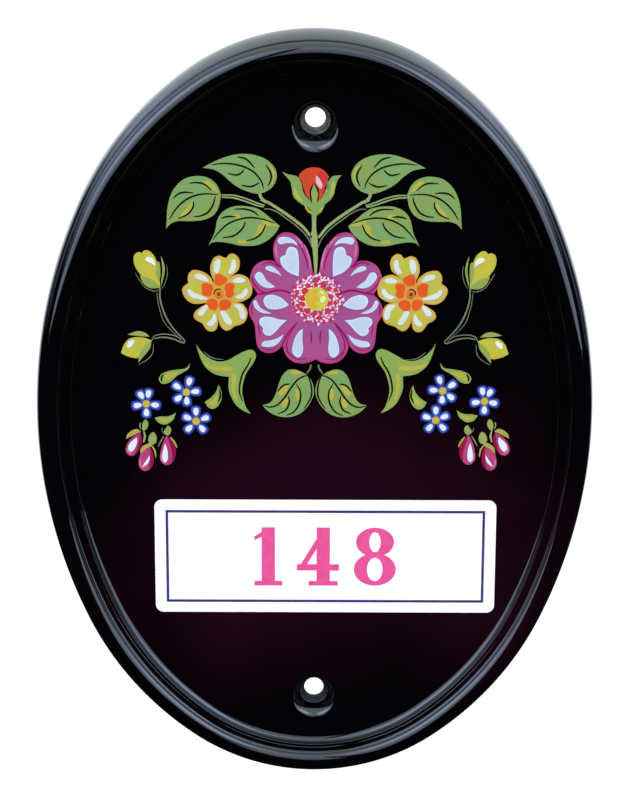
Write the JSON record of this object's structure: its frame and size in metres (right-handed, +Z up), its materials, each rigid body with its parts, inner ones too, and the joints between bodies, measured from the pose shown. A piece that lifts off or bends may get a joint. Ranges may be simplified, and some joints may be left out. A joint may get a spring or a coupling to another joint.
{
  "type": "house number plaque",
  "caption": "Oval glazed ceramic wall plaque with a rolled rim, a printed flower spray, a number panel and two screw wells on its centre line.",
  "frame": {"origin": "middle of the plaque on the wall plane, which is the plane of its foot ring", "axes": "+Z up the plaque as it hangs, +X to the right seen from the front, -Y out of the wall: the front faces -Y"},
  "size_m": [0.15, 0.0136, 0.209],
  "materials": {
    "black_glaze": "high gloss black glaze",
    "green_enamel": "gloss enamel print",
    "magenta_enamel": "gloss enamel print",
    "yellow_enamel": "gloss enamel print",
    "blue_enamel": "gloss enamel print",
    "red_enamel": "gloss enamel print",
    "orange_enamel": "gloss enamel print",
    "pale_enamel": "gloss enamel print",
    "white_enamel": "gloss enamel print",
    "navy_enamel": "gloss enamel print",
    "pink_enamel": "gloss enamel print"
  },
  "bodies": {
    "root": {"ceramic_plaque": "black_glaze", "print_green": "green_enamel", "print_magenta": "magenta_enamel", "print_yellow": "yellow_enamel", "print_blue": "blue_enamel", "print_red": "red_enamel", "print_orange": "orange_enamel", "print_white": "pale_enamel", "panel_ground": "white_enamel", "panel_line": "navy_enamel", "panel_numerals": "pink_enamel"}
  },
  "joints": []
}
